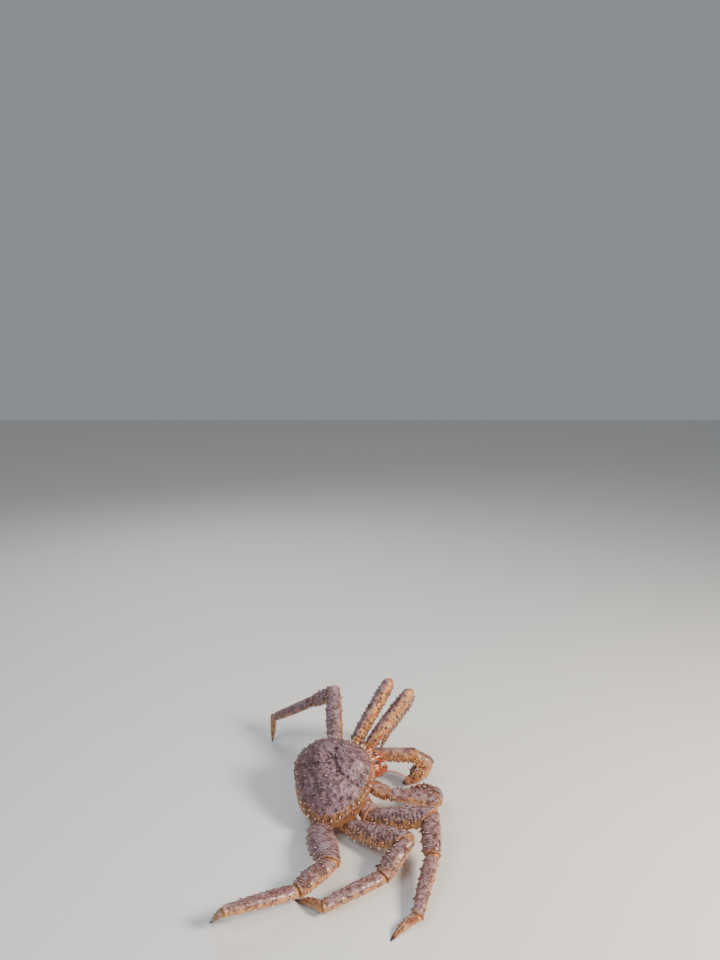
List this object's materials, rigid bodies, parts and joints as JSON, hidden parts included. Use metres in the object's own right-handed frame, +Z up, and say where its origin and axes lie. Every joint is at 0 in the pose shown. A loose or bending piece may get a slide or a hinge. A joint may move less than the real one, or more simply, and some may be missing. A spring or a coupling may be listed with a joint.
{
  "type": "red king crab",
  "caption": "Still life-size red king crab with spiny domed shell, long bent spiny walking legs, folded claws and tail flap, resting on its toe tips.",
  "frame": {"origin": "middle of the crab's bounding box, on the floor under it", "axes": "+X ahead of the crab, +Y to the crab's left across the leg span, +Z up"},
  "size_m": [0.3512, 0.5056, 0.1949],
  "materials": {
    "shell": "wet spiny shell, mauve-brown above with pale spine tips",
    "under_shell": "wet smooth shell, tan to cream",
    "tip": "amber to dark red-brown horny tips",
    "eye": "shiny near-black",
    "feeler": "orange-pink, translucent looking"
  },
  "bodies": {
    "root": {"carapace": "shell", "thorax": "under_shell", "abdomen": "under_shell", "eye_left": "eye", "antenna_left": "feeler", "antennule_left": "feeler", "maxilliped_left": "under_shell", "eye_right": "eye", "antenna_right": "feeler", "antennule_right": "feeler", "maxilliped_right": "under_shell", "right_1_hip": "under_shell", "right_1_merus": "shell", "right_1_carpus": "shell", "right_1_palm": "shell", "right_1_finger": "tip", "right_2_hip": "under_shell", "right_2_merus": "shell", "right_2_carpus": "shell", "right_2_propodus": "shell", "right_2_dactyl": "tip", "right_3_hip": "under_shell", "right_3_merus": "shell", "right_3_carpus": "shell", "right_3_propodus": "shell", "right_3_dactyl": "tip", "right_4_hip": "under_shell", "right_4_merus": "shell", "right_4_carpus": "shell", "right_4_propodus": "shell", "right_4_dactyl": "tip", "left_1_hip": "under_shell", "left_1_merus": "shell", "left_1_carpus": "shell", "left_1_palm": "shell", "left_1_finger": "tip", "left_2_hip": "under_shell", "left_2_merus": "shell", "left_2_carpus": "shell", "left_2_propodus": "shell", "left_2_dactyl": "tip", "left_3_hip": "under_shell", "left_3_merus": "shell", "left_3_carpus": "shell", "left_3_propodus": "shell", "left_3_dactyl": "tip", "left_4_hip": "under_shell", "left_4_merus": "shell", "left_4_carpus": "shell", "left_4_propodus": "shell", "left_4_dactyl": "tip"}
  },
  "joints": []
}
